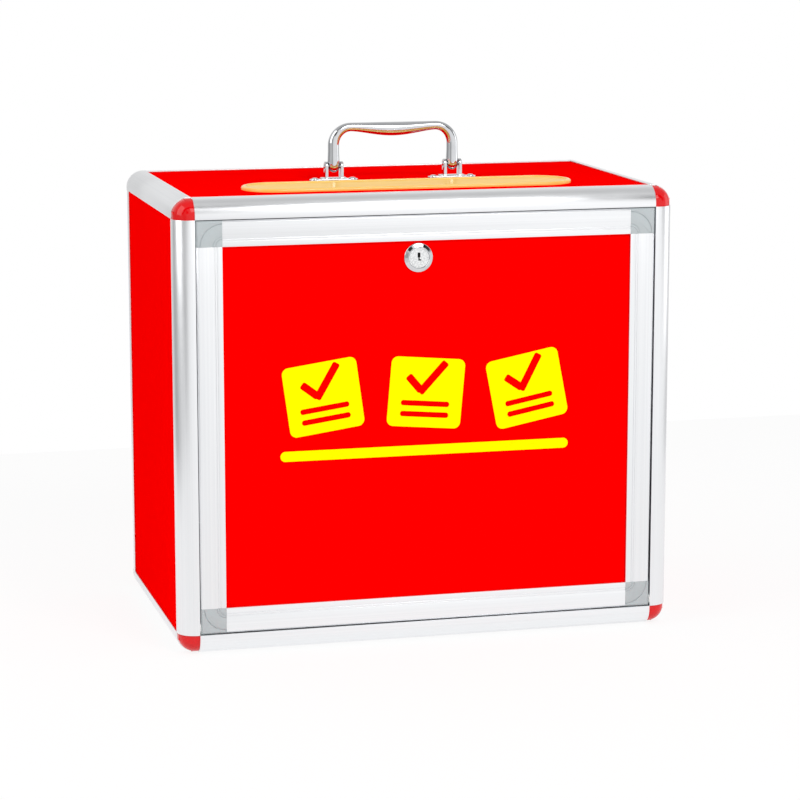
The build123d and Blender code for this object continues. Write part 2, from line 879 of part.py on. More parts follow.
def lock_cam_screw():
    low = cam_front + cam_plate
    shank = few_sided_y(cam_screw_radius, low - cam_screw_depth, low, lock_offset, lock_z)
    across = RegularPolygon(cam_head_half_flats, nut_sides, major_radius=False)
    return shank + extrude(lock_place(low) * across, amount=cam_head)


# Write every piece
def save_pair(first, second, shape, about):
    save(first, shape)
    save(second, mirror(shape, about=about))


save_pair("profile_front_left", "profile_front_right", front_upright(), LEFT_RIGHT)
save_pair("profile_front_bottom", "profile_front_top", front_crossbar(), LOW_HIGH)
save_pair("profile_side_bottom_left", "profile_side_bottom_right", side_edge(), LEFT_RIGHT)
upper_edge = mirror(side_edge(), about=LOW_HIGH)
save_pair("profile_side_top_left", "profile_side_top_right", upper_edge, LEFT_RIGHT)
save_pair("profile_back_left", "profile_back_right", back_upright(), LEFT_RIGHT)
save_pair("profile_back_bottom", "profile_back_top", back_crossbar(), LOW_HIGH)
save_pair("corner_cap_bottom_left", "corner_cap_bottom_right", corner_cap(True), LEFT_RIGHT)
upper_cap = mirror(corner_cap(False), about=LOW_HIGH)
save_pair("corner_cap_top_left", "corner_cap_top_right", upper_cap, LEFT_RIGHT)
save_pair("panel_left", "panel_right", side_sheet(), LEFT_RIGHT)
save("panel_bottom", bottom_sheet())
save("panel_top", top_sheet())
save("panel_back", back_sheet())
save("slot_insert", slot_insert())
save_pair("pivot_bush_left", "pivot_bush_right", pivot_bush(), LEFT_RIGHT)

save_pair("door_rail_bottom", "door_rail_top", door_rail(), LOW_HIGH)
save_pair("door_stile_left", "door_stile_right", door_stile(), LEFT_RIGHT)
save_pair("door_corner_bottom_left", "door_corner_bottom_right", corner_block(True), LEFT_RIGHT)
upper_block = mirror(corner_block(False), about=LOW_HIGH)
save_pair("door_corner_top_left", "door_corner_top_right", upper_block, LEFT_RIGHT)
save("door_panel", door_sheet())
save_pair("pivot_pin_left", "pivot_pin_right", pivot_pin(), LEFT_RIGHT)

save("lock_housing", lock_housing())
save("lock_nut", lock_nut_piece())
save("lock_plug", lock_plug())
save("lock_cam", lock_cam())
save("lock_cam_screw", lock_cam_screw())

save("handle_grip", handle_grip())
save_pair("handle_bracket_left", "handle_bracket_right", handle_bracket(), LEFT_RIGHT)
save_pair("handle_pin_left", "handle_pin_right", handle_pin(), LEFT_RIGHT)
save("handle_rivets", Compound([handle_rivet(x) for x in handle_rivet_places()]))
save("handle_washers", Compound([handle_washer(x) for x in handle_rivet_places()]))
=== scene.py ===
import bmesh
import bpy
from math import cos, pi, radians, sin
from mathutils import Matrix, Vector


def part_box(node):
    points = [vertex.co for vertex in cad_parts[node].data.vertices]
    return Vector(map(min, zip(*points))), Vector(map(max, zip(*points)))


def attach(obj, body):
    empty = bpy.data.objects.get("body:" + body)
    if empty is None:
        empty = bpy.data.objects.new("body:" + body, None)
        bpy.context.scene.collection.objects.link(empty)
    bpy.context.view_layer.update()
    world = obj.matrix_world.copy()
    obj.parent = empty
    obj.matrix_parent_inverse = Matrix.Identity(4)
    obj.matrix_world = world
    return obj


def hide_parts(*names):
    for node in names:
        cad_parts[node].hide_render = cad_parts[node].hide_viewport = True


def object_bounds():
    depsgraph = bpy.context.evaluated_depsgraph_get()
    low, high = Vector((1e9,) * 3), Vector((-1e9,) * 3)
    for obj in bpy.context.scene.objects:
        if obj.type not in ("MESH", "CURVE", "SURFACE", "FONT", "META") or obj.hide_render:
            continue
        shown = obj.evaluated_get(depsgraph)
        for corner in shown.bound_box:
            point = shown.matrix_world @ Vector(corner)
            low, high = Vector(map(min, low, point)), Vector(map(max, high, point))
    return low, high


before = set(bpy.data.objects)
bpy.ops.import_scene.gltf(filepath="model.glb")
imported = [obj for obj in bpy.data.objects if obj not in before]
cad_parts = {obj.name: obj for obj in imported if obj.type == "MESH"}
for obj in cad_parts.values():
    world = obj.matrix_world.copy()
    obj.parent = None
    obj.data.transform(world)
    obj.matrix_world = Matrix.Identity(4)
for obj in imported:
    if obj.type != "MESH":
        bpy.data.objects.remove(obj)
cad_low, cad_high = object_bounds()


# Edge frame
# Twelve satin anodised aluminium extrusions, sawn to length, carry the red sheets in their
# grooves. The quarter rounds along the front also carry the jamb and stop of the door.

edge_bars = {
    "X": ["profile_front_bottom", "profile_front_top", "profile_back_bottom", "profile_back_top"],
    "Y": [
        "profile_side_bottom_left", "profile_side_bottom_right",
        "profile_side_top_left", "profile_side_top_right",
    ],
    "Z": ["profile_front_left", "profile_front_right", "profile_back_left", "profile_back_right"],
}
edge_softness = 0.00022
soft_steps = 2
sharp_angle = 35  # degrees from which an edge is broken, and stays sharp to the eye
merge_within = 0.000004
flat_within = 0.6  # degrees within which small faces become one
noise_middle = (0.3, 0.7)  # where most of a noise lies
plain_shine = 0.5
silver = (0.88, 0.89, 0.905, 1)
silver_dull = (0.84, 0.85, 0.868, 1)
silver_gloss = (0.28, 0.33)
silver_cloud = (25, 3)
cross_bar_painted_sheen = 1.045  # painted sheen: the bars across the front are made a little brighter, for the brighter reflection they catch
die_lines = 900
die_line_detail = 2
die_line_height = 0.000012
along_the_bar = 2


def only(piece):
    """Leaves one piece selected and active."""
    bpy.ops.object.select_all(action="DESELECT")
    piece.select_set(True)
    bpy.context.view_layer.objects.active = piece


def edit(piece):
    """Opens one piece for modelling, with nothing of it selected."""
    only(piece)
    bpy.ops.object.mode_set(mode="EDIT")
    bpy.ops.mesh.select_all(action="DESELECT")


def done():
    bpy.ops.object.mode_set(mode="OBJECT")


def pick(piece, kind, test):
    """Selects the faces, edges or verts whose middle and direction pass a test."""
    bpy.ops.mesh.select_mode(type={"faces": "FACE", "edges": "EDGE", "verts": "VERT"}[kind])
    bpy.ops.mesh.select_all(action="DESELECT")
    shape = bmesh.from_edit_mesh(piece.data)
    for part in getattr(shape, kind):
        if kind == "faces":
            found = test(part.calc_center_median(), part.normal)
        elif kind == "edges":
            first, second = (corner.co for corner in part.verts)
            found = test((first + second) / 2, (second - first).normalized())
        else:
            found = test(part.co)
        part.select_set(found)
    bmesh.update_edit_mesh(piece.data)


def use(piece, kind, **settings):
    """Adds a modifier, gives it its settings and applies it."""
    only(piece)
    modifier = piece.modifiers.new(kind.lower(), kind)
    for setting, value in settings.items():
        setattr(modifier, setting, value)
    bpy.ops.object.modifier_apply(modifier=modifier.name)


def smooth(piece, angle=sharp_angle):
    only(piece)
    bpy.ops.object.shade_smooth_by_angle(angle=radians(angle))


def soften(piece, width, sharp=sharp_angle):
    """Breaks the sharp edges of a piece by a small width."""
    use(
        piece, "BEVEL", width=width, segments=soft_steps, limit_method="ANGLE",
        angle_limit=radians(sharp), use_clamp_overlap=False,
    )
    smooth(piece)


def copy_of(node, name):
    """A copy of a node's shape as one closed surface of large faces."""
    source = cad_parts[node]
    piece = bpy.data.objects.new(name, source.data.copy())
    piece.data.name = name
    bpy.context.scene.collection.objects.link(piece)
    edit(piece)
    bpy.ops.mesh.select_all(action="SELECT")
    bpy.ops.mesh.customdata_custom_splitnormals_clear()
    bpy.ops.mesh.remove_doubles(threshold=merge_within)
    bpy.ops.mesh.dissolve_limited(angle_limit=radians(flat_within))
    done()
    return piece


def place(piece, material, body, slot, *nodes):
    """Gives a finished piece its material, its body, its slot and the nodes that it stands for."""
    piece.data.materials.clear()
    piece.data.materials.append(material)
    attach(piece, body)
    if nodes:
        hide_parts(*nodes)


def new_material(name, colour, metal, gloss):
    """A material with its shader. Gloss is its roughness."""
    material = bpy.data.materials.new(name)
    material.use_nodes = True
    shader = material.node_tree.nodes["Principled BSDF"]
    shader.inputs["Base Color"].default_value = colour
    shader.inputs["Metallic"].default_value = metal
    shader.inputs["Roughness"].default_value = gloss
    return material, material.node_tree, shader


def grain(tree, scale, detail, distortion=0):
    """Noise in the piece's own place. Its scale is grains to the metre, or that for each axis."""
    where = tree.nodes.new("ShaderNodeTexCoord")
    stretch = tree.nodes.new("ShaderNodeMapping")
    stretch.inputs["Scale"].default_value = scale if isinstance(scale, tuple) else (scale,) * 3
    noise = tree.nodes.new("ShaderNodeTexNoise")
    noise.inputs["Scale"].default_value = 1
    noise.inputs["Detail"].default_value = detail
    noise.inputs["Distortion"].default_value = distortion
    tree.links.new(where.outputs["Object"], stretch.inputs["Vector"])
    tree.links.new(stretch.outputs["Vector"], noise.inputs["Vector"])
    return noise.outputs["Fac"]


def ranged(tree, value, start, end, low, high, curve="LINEAR"):
    """Turns one range of a value into another, and holds it at both ends."""
    node = tree.nodes.new("ShaderNodeMapRange")
    node.interpolation_type = curve
    node.inputs["From Min"].default_value = start
    node.inputs["From Max"].default_value = end
    node.inputs["To Min"].default_value = low
    node.inputs["To Max"].default_value = high
    tree.links.new(value, node.inputs["Value"])
    return node.outputs["Result"]


def tint(tree, shader, value, first, second):
    """Colours a surface from one colour to another by a noise."""
    node = tree.nodes.new("ShaderNodeMix")
    node.data_type = "RGBA"
    colours = [socket for socket in node.inputs if socket.type == "RGBA"]
    colours[0].default_value = first
    colours[1].default_value = second
    tree.links.new(ranged(tree, value, *noise_middle, 0, 1), node.inputs[0])
    result = [socket for socket in node.outputs if socket.type == "RGBA"][0]
    tree.links.new(result, shader.inputs["Base Color"])


def relief(tree, shader, value, height):
    """Raises a surface by a noise, to a height in metres."""
    node = tree.nodes.new("ShaderNodeBump")
    node.inputs["Strength"].default_value = 1
    node.inputs["Distance"].default_value = height
    tree.links.new(value, node.inputs["Height"])
    tree.links.new(node.outputs["Normal"], shader.inputs["Normal"])


def surface(name, colours, gloss, grains, height, metal=0, shine=plain_shine):
    """A material that varies from a deep to a bright colour and from a low to a high roughness.

    Its grains are those of the colour, the roughness and the relief, each with its scale and
    detail. Height is that of the relief in metres.
    """
    material, tree, shader = new_material(name, colours[1], metal, gloss[0])
    noises = {each: grain(tree, *each) for each in dict.fromkeys(grains)}
    of_colour, of_gloss, of_relief = (noises[each] for each in grains)
    tint(tree, shader, of_colour, *colours)
    rough = ranged(tree, of_gloss, *noise_middle, *gloss)
    tree.links.new(rough, shader.inputs["Roughness"])
    shader.inputs["Specular IOR Level"].default_value = shine
    relief(tree, shader, of_relief, height)
    return material


def anodised(axis):
    """Satin anodised aluminium with the fine lines that the die leaves along a bar, and a painted
    sheen that makes the bars along X a little brighter.
    """
    # The bars along X (the front and back cross bars and the door's rails) take a painted sheen:
    # their colours are lifted to stand in for brighter reflection.
    sheen_lift = cross_bar_painted_sheen if axis == "X" else 1
    tones = [[value * sheen_lift for value in tone[:3]] + [1] for tone in (silver_dull, silver)]
    scale = tuple(along_the_bar if letter == axis else die_lines for letter in "XYZ")
    grains = ((scale, die_line_detail), silver_cloud, (scale, die_line_detail))
    return surface("anodised_" + axis, tones, silver_gloss, grains, die_line_height, metal=1)


aluminium = {axis: anodised(axis) for axis in edge_bars}
for axis, nodes in edge_bars.items():
    for node in nodes:
        bar = copy_of(node, node.replace("profile", "edge"))
        soften(bar, edge_softness)
        place(bar, aluminium[axis], "box", "aluminium", node)


# Corner caps
# Four glossy red mouldings close the front corners. Each is a ball corner with a plug for
# each of its three bars, and lies a little lower than the bars, so that their ends show.

cap_step = 0.0008
cap_ball = 0.0155
cap_reach = 0.045
cap_rounds = 14
cap_reds = ((0.66, 0.0, 0.002, 1), (0.74, 0.0, 0.003, 1))
cap_gloss = (0.04, 0.07)
cap_shine = 0.42
cap_grains = ((60, 3), (60, 3), (500, 2))
cap_relief = 0.000002


def settle():
    """Puts the place, turn and scale of the new piece into its mesh."""
    bpy.ops.object.transform_apply(location=True, rotation=True, scale=True)


def new_block(name, low, high):
    """A block between two opposite corners."""
    bpy.ops.object.select_all(action="DESELECT")
    middle = [(a + b) / 2 for a, b in zip(low, high)]
    size = [abs(b - a) for a, b in zip(low, high)]
    bpy.ops.mesh.primitive_cube_add(size=1, location=middle, scale=size)
    settle()
    piece = bpy.context.object
    piece.name = piece.data.name = name
    return piece


def round_off(piece, radius, steps, test):
    """Rounds the edges of a piece that pass a test."""
    edit(piece)
    pick(piece, "edges", test)
    bpy.ops.mesh.bevel(offset=radius, segments=steps, affect="EDGES")
    done()


def combine(piece, other, how):
    """Joins, cuts or keeps what is common to a piece and another, which is used up."""
    use(piece, "BOOLEAN", object=other, operation=how, solver="EXACT")
    bpy.data.objects.remove(other)


def ball_block(corner, inward):
    """A block whose outer corner is rounded to a ball. What lies inside it of a cap is kept."""
    outer = [c + cap_step * d for c, d in zip(corner, inward)]
    inner = [c + cap_reach * d for c, d in zip(corner, inward)]
    ball = new_block("ball", outer, inner)

    def at_the_corner(middle, along):
        return sum(abs(a - b) < cap_step / 2 for a, b in zip(middle, outer)) == 2

    round_off(ball, cap_ball - cap_step, cap_rounds, at_the_corner)
    return ball


front_low, front_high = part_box("profile_front_top")
cap_red = surface("cap_red", cap_reds, cap_gloss, cap_grains, cap_relief, shine=cap_shine)
for level in ("bottom", "top"):
    for side in ("left", "right"):
        node = "corner_cap_" + level + "_" + side
        inward = (1 if side == "left" else -1, 1, 1 if level == "bottom" else -1)
        corner = (
            cad_low.x if side == "left" else cad_high.x, front_low.y,
            0 if level == "bottom" else front_high.z,
        )
        cap = copy_of(node, "cap_" + level + "_" + side)
        combine(cap, ball_block(corner, inward), "INTERSECT")
        smooth(cap)
        place(cap, cap_red, "box", "red_plastic", node)


# Red sheets
# Flat sheets of coated red board close the left, right, bottom, top, back and door. The coat
# is smooth and has no shine.

sheet_nodes = ("panel_left", "panel_right", "panel_bottom", "panel_top", "panel_back", "door_panel")
sheet_reds = ((0.965, 0.0, 0.0, 1), (1.0, 0.0, 0.0, 1))
sheet_gloss = (0.42, 0.5)
sheet_grains = ((700, 3), (14, 2), (420, 2))
sheet_relief = 0.00001
no_shine = 0

coated_red = surface(
    "coated_red", sheet_reds, sheet_gloss, sheet_grains, sheet_relief, shine=no_shine
)
for node in sheet_nodes:
    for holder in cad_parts[node].material_slots:
        holder.material = coated_red


# Slot insert
# One long moulding in golden cream plastic, snapped into the top sheet. Its rim is rounded
# and a dish slopes down to the slot, which has a turned-down lip to keep hands out.

insert_low, insert_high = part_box("slot_insert")
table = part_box("panel_top")[1].z
insert_half = (insert_high.y - insert_low.y) / 2
insert_middle = (insert_high.y + insert_low.y) / 2
insert_spine = (insert_high.x - insert_low.x) / 2 - insert_half
insert_rim = insert_high.z - table
insert_foot = table - insert_low.z
insert_sides = 96
rim_wall = 0.0008  # upright part of the outer edge
rim_crest = 0.0018  # from the outer edge to the crest of the bead
rim_flat = 0.0014
rim_width = 0.0046
rim_step = 0.0011  # from the crest down to the dish
crest_steps = 5
rim_step_steps = 3
dish_depth = 0.0022
dish_floor = 0.009
slot_half = 0.004
slot_wall = 0.002
floor_curve = [(1, -0.3), (-1, 0.05)]  # out from the floor's edge and down, in inner rounds
slot_curve = [(1, 0.1), (0.3, 0.4), (0, 1)]  # out from the slot and down, in inner rounds
insert_plate = 0.0021
insert_lap = 0.0073  # from the edge of the rim to the skirt
skirt_outside = insert_half - insert_lap
skirt_wall = 0.002
skirt_drop = 0.0062
hook_size = (0.010, 0.0013, 0.0022)
hook_count = 3
insert_smooth = 40
just_over = 1.01
creams = ((0.90, 0.53, 0.09, 1), (0.94, 0.60, 0.13, 1))
cream_gloss = (0.17, 0.25)
cream_flow = ((9, 160, 160), 3, 0.6)
cream_grains = (cream_flow, cream_flow, (1100, 2))
cream_relief = 0.000008


def quarter(wide, tall, middle_r, middle_z, first, last, steps):
    """Points of an oval about a middle, from one angle to another, both in quarter turns."""
    turns = [(first + (last - first) * i / steps) * pi / 2 for i in range(steps + 1)]
    return [(middle_r + wide * cos(t), middle_z + tall * sin(t)) for t in turns]


def insert_section():
    """The insert's section from its outer foot over the rim and the dish and back below."""
    mouth = insert_half - rim_width
    crest_end = insert_half - rim_crest - rim_flat
    inner_round = (crest_end - mouth) / 2
    half_step = rim_step / 2
    step_middle = insert_rim - half_step
    outside = insert_half - rim_crest
    return [
        (insert_half, 0),
        *quarter(rim_crest, insert_rim - rim_wall, outside, rim_wall, 0, 1, crest_steps),
        *quarter(inner_round, half_step, crest_end, step_middle, 1, 2, rim_step_steps),
        *quarter(inner_round, half_step, mouth, step_middle, 4, 3, rim_step_steps),
        *[(dish_floor + inner_round * r, -dish_depth - inner_round * z) for r, z in floor_curve],
        *[(slot_half + inner_round * r, -dish_depth - inner_round * z) for r, z in slot_curve],
        (slot_half, -insert_foot),
        (slot_half + slot_wall, -insert_foot),
        (slot_half + slot_wall, -dish_depth - insert_plate),
        (dish_floor, -dish_depth - insert_plate),
        (skirt_outside - skirt_wall, -insert_plate / 2),
        (skirt_outside - skirt_wall, -skirt_drop),
        (skirt_outside, -skirt_drop),
        (skirt_outside, 0),
    ]


def new_circle(name, sides, radius, at, turn=0):
    """A level circle at a place, open for modelling and all selected."""
    bpy.ops.object.select_all(action="DESELECT")
    bpy.ops.mesh.primitive_circle_add(
        vertices=sides, radius=radius, location=at, rotation=(0, 0, turn)
    )
    settle()
    piece = bpy.context.object
    piece.name = piece.data.name = name
    edit(piece)
    bpy.ops.mesh.select_all(action="SELECT")
    return piece


def face_out():
    """Turns all faces of the open piece outwards."""
    bpy.ops.mesh.select_all(action="SELECT")
    bpy.ops.mesh.normals_make_consistent(inside=False)


def draw_out(piece, section, spine, middle, level):
    """Draws a long round-ended ring out through the rings of a section and closes it."""
    for before, after in zip(section, section[1:]):
        bpy.ops.mesh.extrude_region_move(
            TRANSFORM_OT_translate={"value": (0, 0, after[1] - before[1])}
        )
        if after[0] == before[0]:
            continue
        ring = [v.index for v in bmesh.from_edit_mesh(piece.data).verts if v.select]
        ratio = after[0] / before[0]
        for side in (-1, 1):
            shape = bmesh.from_edit_mesh(piece.data)
            shape.verts.ensure_lookup_table()
            bpy.ops.mesh.select_all(action="DESELECT")
            for i in ring:
                shape.verts[i].select_set(shape.verts[i].co.x * side > 0)
            shape.select_flush_mode()
            bpy.ops.transform.resize(
                value=(ratio, ratio, 1), center_override=(side * spine, middle, level + after[1])
            )
        shape = bmesh.from_edit_mesh(piece.data)
        shape.verts.ensure_lookup_table()
        for i in ring:
            shape.verts[i].select_set(True)
        shape.select_flush_mode()
        bmesh.update_edit_mesh(piece.data)
    bpy.ops.mesh.select_non_manifold(extend=True)
    bpy.ops.mesh.bridge_edge_loops()
    face_out()


def moulded_insert():
    """The insert: a circle's two halves drawn apart to a long ring, then through the section."""
    section = insert_section()
    start = (0, insert_middle, table)
    piece = new_circle("slot_surround", insert_sides, section[0][0], start, pi / insert_sides)
    for side in (-1, 1):
        pick(piece, "verts", lambda at: 0 < at.x * side < insert_half * just_over)
        bpy.ops.transform.translate(value=(side * insert_spine, 0, 0))
    bpy.ops.mesh.select_all(action="SELECT")
    draw_out(piece, section, insert_spine, insert_middle, table)
    done()
    return piece


def snap_hooks(piece):
    """Wedges on the skirt that catch under the sheet."""
    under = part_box("panel_top")[0].z
    long, reach, tall = hook_size
    for side in (-1, 1):
        for i in range(hook_count):
            x = ((i + 1) / (hook_count + 1) - 0.5) * 2 * (insert_spine + skirt_outside)
            y = insert_middle + side * skirt_outside
            hook = new_block(
                "hook", (x - long / 2, y - skirt_wall / 2, under - tall),
                (x + long / 2, y + skirt_wall / 2, under),
            )
            edit(hook)
            pick(hook, "verts", lambda at: (at.y - y) * side > 0 and at.z > under - tall / 2)
            bpy.ops.transform.translate(value=(0, side * (reach - skirt_wall / 2), 0))
            pick(hook, "verts", lambda at: (at.y - y) * side > 0 and at.z < under - tall / 2)
            bpy.ops.transform.translate(value=(0, -side * skirt_wall / 2, 0))
            done()
            combine(piece, hook, "UNION")


cream_plastic = surface("cream_plastic", creams, cream_gloss, cream_grains, cream_relief)
insert = moulded_insert()
snap_hooks(insert)
smooth(insert, insert_smooth)
place(insert, cream_plastic, "box", "cream_plastic", "slot_insert")


# Handle brackets
# Two chromed brackets stand on the top sheet. Each is a round-ended plate with a raised pad
# and two round ears for the pin. Two rivets go through its ends, the sheet and a washer.

bracket_base = 0.0018
bracket_rivets = 0.035
bracket_edge = 0.0003
bracket_sharp = 40
bracket_bore = 0.00205
bore_reach = 0.02
ear_rounds = 12
ear_thickness = 0.0026
bracket_pad = (0.0235, 0.0092, 0.0013)  # between the rivets: length, depth and rise
pad_round = 0.0005
pad_steps = 3
pin_proud = 0.0007  # how far a pin stands out of its ears
pin_nose = 0.25  # length of a pin's rounded end, in radii
pin_curve = [(0.7, 0), (0.93, 0.3), (1, 1)]  # radius and place along the rounded end, as shares
pin_sides = 24
full_round = 0.999  # share of half a width that two rounds take, so that they don't meet
lengthways = 0.9  # how much of an edge's direction lies along an axis that it follows
ring_share = (0.98, 1.001)  # how far out the middles of a ring's edges lie, in radii
hair = 1e-7  # within which two levels are one
turned_sides = 32
upright = (0, 0)  # quarter turns about X and about Y of a turned piece that stands
along_x = (0, 1)
to_front = (1, 0)
chrome_tones = ((0.60, 0.61, 0.63, 1), (0.68, 0.69, 0.705, 1))
chrome_gloss = (0.03, 0.06)
chrome_grains = ((90, 3), (90, 3), (260, 2))
chrome_relief = 0.000012
zinc_tones = ((0.5, 0.51, 0.54, 1), (0.68, 0.69, 0.7, 1))
zinc_gloss = (0.24, 0.42)
zinc_grains = ((500, 3),) * 3
zinc_relief = 0.00001


def turned(name, rings, at, quarter_turns=upright, sides=turned_sides, open_ring=False):
    """A turned piece: a circle drawn out through rings of a radius and a height.

    It stands up, then tips about X and about Y by quarter turns. An open ring closes on
    itself, as a washer does, and otherwise both ends are closed.
    """
    start, level = rings[0]
    piece = new_circle(name, sides, start, (0, 0, level))
    if not open_ring:
        bpy.ops.mesh.select_mode(type="EDGE")
    for before, after in zip(rings, rings[1:]):
        bpy.ops.mesh.extrude_edges_move(
            TRANSFORM_OT_translate={"value": (0, 0, after[1] - before[1])}
        )
        ratio = after[0] / before[0]
        bpy.ops.transform.resize(value=(ratio, ratio, 1), center_override=(0, 0, after[1]))
    if open_ring:
        bpy.ops.mesh.select_non_manifold(extend=True)
        bpy.ops.mesh.bridge_edge_loops()
    else:
        bpy.ops.mesh.edge_face_add()
        inside, outside = (start * share for share in ring_share)
        pick(piece, "edges", lambda middle, along: abs(middle.z - level) < hair
             and inside < middle.xy.length < outside)
        bpy.ops.mesh.edge_face_add()
    face_out()
    done()
    piece.rotation_euler = [turns * pi / 2 for turns in quarter_turns] + [0]
    piece.location = at
    settle()
    return piece


def drill(piece, radius, reach, at, quarter_turns, sides=turned_sides):
    """Bores a round hole that reaches as far to both sides of a place."""
    bore = turned("bore", [(radius, -reach), (radius, reach)], at, quarter_turns, sides)
    combine(piece, bore, "DIFFERENCE")


def middle_of(node):
    low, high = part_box(node)
    return (low + high) / 2


chrome = surface("chrome", chrome_tones, chrome_gloss, chrome_grains, chrome_relief, metal=1)
zinc = surface("zinc", zinc_tones, zinc_gloss, zinc_grains, zinc_relief, metal=1)
pivot = middle_of("handle_pin_left")
for name in ("left", "right"):
    low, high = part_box("handle_bracket_" + name)
    middle = (low + high) / 2
    top = low.z + bracket_base
    base = new_block("bracket_" + name, low, (high.x, high.y, top))
    round_off(
        base, (high.y - low.y) / 2 * full_round, ear_rounds,
        lambda at, along: abs(along.z) > lengthways,
    )
    pin_low, pin_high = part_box("handle_pin_" + name)
    ear_half = high.z - pivot.z
    for end in (-1, 1):
        outer = pin_high.x - pin_proud if end > 0 else pin_low.x + pin_proud
        inner = outer - end * ear_thickness
        ear = new_block(
            "ear", (min(outer, inner), pivot.y - ear_half, low.z + bracket_base / 2),
            (max(outer, inner), pivot.y + ear_half, pivot.z + ear_half),
        )
        round_off(
            ear, ear_half * full_round, ear_rounds,
            lambda at, along: abs(along.x) > lengthways and at.z > pivot.z,
        )
        combine(base, ear, "UNION")
    long, deep, rise = bracket_pad
    pad = new_block(
        "pad", (middle.x - long / 2, middle.y - deep / 2, top - rise),
        (middle.x + long / 2, middle.y + deep / 2, top + rise),
    )
    round_off(
        pad, pad_round, pad_steps, lambda at, along: at.z > top or abs(along.z) > lengthways
    )
    combine(base, pad, "UNION")
    pin_at = (middle.x, pivot.y, pivot.z)
    drill(base, bracket_bore, bore_reach, pin_at, along_x)
    soften(base, bracket_edge, bracket_sharp)
    place(base, chrome, "box", "chrome", "handle_bracket_" + name)

    half, radius = (pin_high.x - pin_low.x) / 2, (pin_high.z - pin_low.z) / 2
    nose = [(radius * wide, half - radius * pin_nose * back) for wide, back in pin_curve]
    rings = [(wide, -level) for wide, level in nose] + nose[::-1]
    pin = turned("pivot_" + name, rings, pin_at, along_x, pin_sides)
    smooth(pin)
    place(pin, chrome, "box", "chrome", "handle_pin_" + name)


# Carrying handle
# One chromed casting: a bar bent down at both ends, a grip that swells below, and thick
# feet with blunt ends, which turn on the pins of the brackets.

grip_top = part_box("handle_grip")[1].z
pivot_right = middle_of("handle_pin_right")
bar_radius = 0.0039
grip_radius = 0.0062
grip_swell = 1.5
leg_radius = 0.0051
foot_radius = 0.0055
bend_radius = 0.016
bar_top_drop = 0.0014  # from the top of the node's crowned grip to the straight bar
foot_blunt = 0.6  # share of the round's first step that the blunt end takes away
foot_taper = 0.012
foot_rounds = 7
foot_bore_reach = 0.012
taper_steps = 5
bend_steps = 14
grip_steps = 16
handle_sides = 32
handle_smooth = 45
near = 1e-6
mirror_seam = 0.00001


def ring_step(move, ratio, middle, flat_axis):
    """Draws the last ring of a bar out by a move, and widens it about its new middle."""
    bpy.ops.mesh.extrude_edges_move(TRANSFORM_OT_translate={"value": move})
    grow = [1 if axis == flat_axis else ratio for axis in "XYZ"]
    bpy.ops.transform.resize(value=grow, center_override=middle)


def eased(share):
    """A share that sets out and arrives gently."""
    return (1 - cos(pi * share)) / 2


def cast_handle():
    """Half of the handle, from the blunt foot up and over to the middle of the grip."""
    foot_x, y, foot_z = pivot_right
    bar_z = grip_top - bar_top_drop - bar_radius
    bend_x = foot_x - bend_radius
    bend_z = bar_z - bend_radius
    turns = [-pi / 2 + (i + foot_blunt) / foot_rounds * pi / 2 for i in range(foot_rounds)] + [0]
    rings = [(foot_radius * cos(t), foot_z + foot_radius * sin(t)) for t in turns]
    taper_z = foot_z + foot_radius / 2
    for i in range(taper_steps + 1):
        share = i / taper_steps
        rings.append((
            foot_radius + (leg_radius - foot_radius) * eased(share), taper_z + foot_taper * share,
        ))
    rings.append((leg_radius, bend_z))
    low_z = rings[0][1]
    half = new_circle("handle", handle_sides, rings[0][0], (foot_x, y, low_z))
    for before, after in zip(rings, rings[1:]):
        move = (0, 0, after[1] - before[1])
        ring_step(move, after[0] / before[0], (foot_x, y, after[1]), "Z")
    bpy.ops.mesh.spin(
        steps=bend_steps, angle=pi / 2, center=(bend_x, y, bend_z), axis=(0, 1, 0)
    )
    for i in range(1, bend_steps + 1):
        share = i / bend_steps
        ratio = 1 + (bar_radius / leg_radius - 1) * eased(share)
        turn = share * pi / 2
        middle = Vector((bend_x + bend_radius * cos(turn), y, bend_z + bend_radius * sin(turn)))
        along = Vector((-sin(turn), 0, cos(turn)))
        pick(half, "verts", lambda at: abs((at - middle).dot(along)) < near
             and (at - middle).length < leg_radius * just_over)
        bpy.ops.transform.resize(value=(ratio, ratio, ratio), center_override=middle)
    pick(half, "edges", lambda at, along: abs(at.x - bend_x) < near)
    radius, drop = bar_radius, 0
    for i in range(1, grip_steps + 1):
        share = i / grip_steps
        swell = (grip_radius - bar_radius) * sin(share * pi / 2) ** grip_swell
        move = (-bend_x / grip_steps, 0, drop - swell)
        middle = (bend_x * (1 - share), y, bar_z - swell)
        ring_step(move, (bar_radius + swell) / radius, middle, "X")
        radius, drop = bar_radius + swell, swell
    pick(half, "edges", lambda at, along: abs(at.z - low_z) < hair)
    bpy.ops.mesh.edge_face_add()
    face_out()
    done()
    return half


handle = cast_handle()
use(handle, "MIRROR", use_axis=(True, False, False), merge_threshold=mirror_seam)
edit(handle)
face_out()
done()
for side in (-1, 1):
    foot = (side * pivot_right.x, pivot_right.y, pivot_right.z)
    drill(handle, bracket_bore, foot_bore_reach, foot, along_x)
smooth(handle, handle_smooth)
place(handle, chrome, "handle", "chrome", "handle_grip")


# Handle rivets and washers
# Four steel rivets hold the brackets. Their heads are low domes, and each tail is set
# against a washer below the sheet.

rivet_low, rivet_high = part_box("handle_rivets")
washer_low, washer_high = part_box("handle_washers")
head_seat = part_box("handle_bracket_left")[0].z + bracket_base
head_radius = (rivet_high.y - rivet_low.y) / 2
head_rise = 0.0015
head_steps = 6
head_dome = 0.9  # share of a quarter turn that a head is domed over
rivet_shank = 0.0016
rivet_tail = 0.0025
tail_curve = [(0.7, 0), (0.95, 0.0003), (1, 0.0007)]  # share of the tail's radius, and height
rivet_hole = 0.00165
rivet_sides = 24
rivet_smooth = 50
washer_radius = (washer_high.y - washer_low.y) / 2
washer_break = 0.0001


